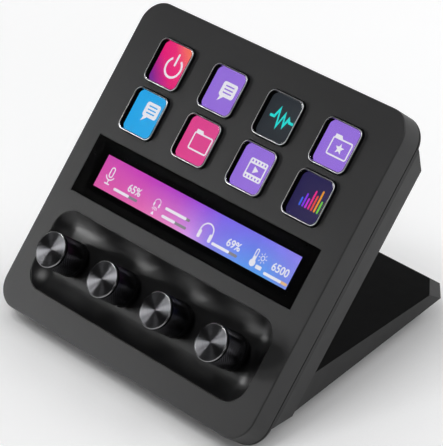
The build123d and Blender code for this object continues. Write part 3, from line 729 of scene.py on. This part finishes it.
strip_sign("strip_mic", microphone(1.1), 5.8, 7.4)
read_out("level_1", 10.2, 10.8, 0.65)
value("value_1", "65%", 20.2, 7.7)
strip_sign("strip_small_phones", headphones(0.5), 33.4, 7.6)
strip_shape("strip_signal", signal_sign(), white, 33.2, 10.9)
read_out("level_2", 38.0, 7.9, 0.86)
read_out("level_3", 38.0, 11.1, 0.55)
strip_sign("strip_phones", headphones(1.05), 61.2, 8.4)
read_out("level_4", 65.8, 11.2, 0.69)
value("value_2", "69%", 75.6, 8.0)
strip_shape("strip_thermometer", thermometer(), white, 87.0, 8.3)
strip_sign("strip_sun", sun(), 90.6, 7.2)
strip_shape("strip_tag", [rounded(0, 0, 3.0, 1.5, 0.4)], white, 90.6, 10.9)
read_out("level_5", 93.8, 11.7, 0.74, 12.3, bar_warm)
value("value_3", "6500", 100.2, 8.0)


# ---- dials: knurled sides and spun tops ----
def turned(name, profile, around, materials, relief=None):
    """A turned solid about its own Z, with a relief cut in.

    Its profile holds (radius, height, material of the band above) in millimetres.
    """
    verts = []
    for radius, height, _ in profile:
        for i in range(around):
            turn = 2 * pi * i / around
            reach = radius - (relief(turn, height) if relief else 0)
            verts.append((reach * cos(turn) * MM, reach * sin(turn) * MM, height * MM))
    kinds = [kind for _, _, kind in profile[:-1] for _ in range(around)] + [profile[0][2], profile[-1][2]]
    faces = bands(around, len(profile) - 1, len(profile)) + end_faces(around, len(profile))
    return new_mesh(name, verts, faces, materials, kinds)


def spun_metal():
    """A turned aluminium face: fine rings, and gloss drawn out round the axis."""
    made = Shader("spun_metal", Metallic=1.0, Anisotropic=1.0, Anisotropic_Rotation=0.25)
    flat = made.vector_math("MULTIPLY", made.object_coords, (1, 1, 0)).outputs["Vector"]
    reach = made.vector_math("LENGTH", flat).outputs["Value"]
    place = made.node("ShaderNodeCombineXYZ", {"X": reach}).outputs["Vector"]
    rings = made.noise(0.35, 1.0, place)
    made.feed("Base Color", made.ramp(rings, [(0.3, colour("58585b")), (0.7, colour("626265"))]))
    made.feed("Roughness", made.spread(rings, 0.28, 0.3))
    tangent = made.node("ShaderNodeTangent", direction_type="RADIAL", axis="Z")
    made.feed("Tangent", tangent.outputs["Tangent"])
    return made.material


KNOB = 7.25                 # radius
KNURL_FROM, KNURL_TO = -1.2, 10.3
KNURL_DEPTH = 0.26
KNURL_COUNT = 42            # diamonds round the dial
KNURL_FACETS = 6            # of the mesh in each
KNURL_ROWS = 10             # diamonds along the dial
KNURL_STEPS = 8             # rings of the mesh in each row
KNOB_TOP = 11.54
SPUN_FACETS = 128
COLLAR, SIDE = 0, 1
knob_side = metal("knob_side", colour("3e3e41"), 0.17, 0.5, False)
knob_collar = metal("knob_collar", colour("161617"), 0.5, 0.3)
knob_spun = spun_metal()
knob_edge = metal("knob_edge", colour("848486"), 0.2, 0.5, False)


def knurl(turn, height):
    """Depth of a diamond knurl: two sets of helical grooves."""
    if not KNURL_FROM < height < KNURL_TO:
        return 0
    along = pi * KNURL_ROWS * (height - KNURL_FROM) / (KNURL_TO - KNURL_FROM)
    grooves = [abs(cos(turn * KNURL_COUNT / 2 + side * along)) for side in (-1, 1)]
    return KNURL_DEPTH * (1 - min(grooves))


knurl_rows = []
for step in range(KNURL_ROWS * KNURL_STEPS + 1):
    height = KNURL_FROM + (KNURL_TO - KNURL_FROM) * step / KNURL_ROWS / KNURL_STEPS
    knurl_rows.append((KNOB, height, SIDE if step >= KNURL_STEPS else COLLAR))
knurl_profile = [
    (KNOB - 0.35, -2.75, COLLAR),
    (KNOB - 0.15, -2.6, COLLAR),
    (KNOB - 0.15, -1.35, COLLAR),
    (KNOB - 0.02, -1.25, COLLAR),
    *knurl_rows,
    (KNOB - 0.3, 10.38, COLLAR),
]
knurl_around = KNURL_FACETS * KNURL_COUNT
knurl_mesh = turned("knob_knurled", knurl_profile, knurl_around, (knob_collar, knob_side), knurl)
smooth(knurl_mesh, 20)
FACE, EDGE, NECK = 0, 1, 2
spun_profile = [
    (KNOB - 0.3, 10.3, NECK),
    (KNOB - 0.12, 10.42, NECK),
    (KNOB, 10.52, NECK),
    (KNOB, 11.28, EDGE),
    (KNOB - 0.3, 11.58, EDGE),
    (KNOB - 0.42, KNOB_TOP, FACE),
    (KNOB - 1.2, KNOB_TOP, FACE),
    (KNOB * 0.5, KNOB_TOP, FACE),
    (0.35, KNOB_TOP, FACE),
    (0.3, 11.5, FACE),
]
spun_mesh = turned("knob_spun", spun_profile, SPUN_FACETS, (knob_spun, knob_edge, knob_collar))
smooth(spun_mesh, 12)
for number, dial_place in enumerate(dial_places, 1):
    across, up, _ = on_panel(dial_place)
    place = panel_matrix(across, up)
    side = piece(f"dial_side_{number}", knurl_mesh, place, f"dial_{number}", "knob_metal")
    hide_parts(f"knob_{number}")
    top = piece(f"dial_top_{number}", spun_mesh, place, f"dial_{number}", "knob_face")
    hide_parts(f"knob_cap_{number}")

# ---- floor, light and camera ----
FLOOR_REACH = 6                         # metres
FLOOR_SHADE = (0.7, 0.7, 0.705, 1)
SHADOW_REACH = 0.3                      # metres over which the part dims the floor's own glow: painted contact shadow
SHADOW_POWER = 1.5
FLOOR_LIFT = (0.36, 0.47)               # that glow, painted light, from the near right to the far left
LIFT_AXIS = (-0.52, 0.78, 0)
LIFT_SPAN = (-160, 260)                 # millimetres along it
FAR_LIFT = {"From Min": 0.7, "From Max": 2.6, "To Max": 0.5}    # metres away, and what that adds
HORIZON_BAND = (0.03, 0.16)             # height of a direction at which the mirrored room turns dark
GLOSSY_LEVELS = (0.85, 0.015)           # its light below and above
DIFFUSE_LEVEL = 0.14                    # the light that it sheds
CAMERA_PLACE = (615.7, 11.7, 729.1)     # across, up and out from the middle of the strip
CAMERA_BACK = (0.6365, 0.0084, 0.7713)
CAMERA_LENS = 207.2
SENSOR_WIDTH = 36


def floor_material():
    """Pale floor: it keeps the lamps' shadow, and its own glow, painted light seen directly and in
    reflections, fades up to white away from the camera; near the part ambient occlusion dims that glow, a
    painted contact shadow.
    """
    made = Shader("floor_pale", Roughness=0.9, Specular_IOR_Level=0.2, Base_Color=FLOOR_SHADE)
    made.bump(made.noise(3.0), 0.05, 0.02)
    rays = made.node("ShaderNodeLightPath").outputs
    seen = made.math("MAXIMUM", rays["Is Camera Ray"], rays["Is Glossy Ray"])
    seen = made.math("MAXIMUM", seen, rays["Is Transmission Ray"])
    # ambient occlusion darkens the floor's glow close under and round the part: painted contact shadow
    near = made.node("ShaderNodeAmbientOcclusion", {"Distance": SHADOW_REACH}, samples=8)
    painted_contact_shade = made.math("POWER", near.outputs["AO"], SHADOW_POWER)
    lift = made.spread(made.along(LIFT_AXIS, *LIFT_SPAN), *FLOOR_LIFT)
    away = made.vector_math("LENGTH", made.object_coords).outputs["Value"]
    far = made.node("ShaderNodeMapRange", {"Value": away, **FAR_LIFT}).outputs["Result"]
    lift = made.math("ADD", lift, far)
    strength = made.math("MULTIPLY", seen, made.math("MULTIPLY", lift, painted_contact_shade))
    glowing = made.node("ShaderNodeEmission", {"Strength": strength})
    both = made.node("ShaderNodeAddShader")
    made.plug(made.surface.outputs["BSDF"], both.inputs[0])
    made.plug(glowing.outputs["Emission"], both.inputs[1])
    made.plug(both.outputs["Shader"], made.tree.nodes["Material Output"].inputs["Surface"])
    return made.material


def studio_world():
    """White surroundings whose mirror image darkens above the horizon, as a dim room over a lit table."""
    world = bpy.data.worlds.new("studio")
    world.use_nodes = True
    tree = world.node_tree
    background = tree.nodes["Background"]
    background.inputs["Color"].default_value = (1, 1, 1, 1)
    rays = tree.nodes.new("ShaderNodeLightPath")
    direction = tree.nodes.new("ShaderNodeTexCoord")
    height = tree.nodes.new("ShaderNodeSeparateXYZ")
    tree.links.new(direction.outputs["Generated"], height.inputs["Vector"])
    card = tree.nodes.new("ShaderNodeMapRange")
    card.interpolation_type = "SMOOTHSTEP"
    for socket, level in zip(("From Min", "From Max", "To Min", "To Max"), HORIZON_BAND + GLOSSY_LEVELS):
        card.inputs[socket].default_value = level
    tree.links.new(height.outputs["Z"], card.inputs["Value"])
    glossy = tree.nodes.new("ShaderNodeMix")
    glossy.inputs["A"].default_value = DIFFUSE_LEVEL
    tree.links.new(rays.outputs["Is Glossy Ray"], glossy.inputs["Factor"])
    tree.links.new(card.outputs["Result"], glossy.inputs["B"])
    seen = tree.nodes.new("ShaderNodeMix")
    seen.inputs["B"].default_value = 1.0
    tree.links.new(rays.outputs["Is Camera Ray"], seen.inputs["Factor"])
    tree.links.new(glossy.outputs["Result"], seen.inputs["A"])
    tree.links.new(seen.outputs["Result"], background.inputs["Strength"])
    return world


def lamp(name, direction, distance, size, power, target=MIDDLE, spread=180):
    """A soft lamp aimed at the object; a narrow spread is a grid that keeps its light near the target."""
    data = bpy.data.lights.new(name, "AREA")
    data.shape = "RECTANGLE"
    data.size, data.size_y = size
    data.energy = power
    data.spread = radians(spread)
    made = bpy.data.objects.new(name, data)
    bpy.context.scene.collection.objects.link(made)
    direction = Vector(direction).normalized()
    made.location = target + direction * distance
    made.rotation_euler = direction.to_track_quat("Z", "Y").to_euler()
    made.visible_camera = False


corners = [(-FLOOR_REACH, -FLOOR_REACH), (FLOOR_REACH, -FLOOR_REACH)]
corners += [(FLOOR_REACH, FLOOR_REACH), (-FLOOR_REACH, FLOOR_REACH)]
mesh = new_mesh("floor", [(x, y, 0) for x, y in corners], [(0, 1, 2, 3)], [floor_material()], [0])
floor = bpy.data.objects.new("floor", mesh)
bpy.context.scene.collection.objects.link(floor)

# direction, distance and size in metres, watts, and for the small ones the target and the spread in degrees
lamp("main", (0.0, -0.43, 0.9), 2.0, (0.9, 0.9), 17)
lamp("low_front_left", (-0.77, -0.634, 0.03), 1.2, (0.3, 0.2), 0.05, panel(-86, -44), 11)
lamp("left", (-0.855, -0.495, 0.155), 0.9, (0.22, 0.3), 0.07, panel(-80, -76), 16)
lamp("side", (-0.914, -0.01, 0.42), 1.4, (0.3, 0.3), 0.035, panel(30, -48), 24)
lamp("back_right", (0.5, 0.62, 0.6), 1.6, (1.1, 0.9), 13)
lamp("right", (0.85, -0.35, 0.4), 1.5, (0.5, 0.5), 0.7)
bpy.context.scene.world = studio_world()

# the photograph's viewpoint
across, up, out = CAMERA_PLACE
camera_place = MIDDLE - UP * STRIP_DOWN * MM + (ACROSS * across + UP * up + OUT * out) * MM
across, up, out = CAMERA_BACK
back = (ACROSS * across + UP * up + OUT * out).normalized()
right = Vector((0, 0, 1)).cross(back).normalized()
camera_data = bpy.data.cameras.new("camera")
camera_data.sensor_width = SENSOR_WIDTH
camera_data.lens = CAMERA_LENS
camera = bpy.data.objects.new("camera", camera_data)
axes = Matrix((right, back.cross(right), back)).transposed().to_4x4()
camera.matrix_world = Matrix.Translation(camera_place) @ axes
bpy.context.scene.collection.objects.link(camera)
bpy.context.scene.camera = camera
bpy.context.scene.view_settings.view_transform = "Standard"
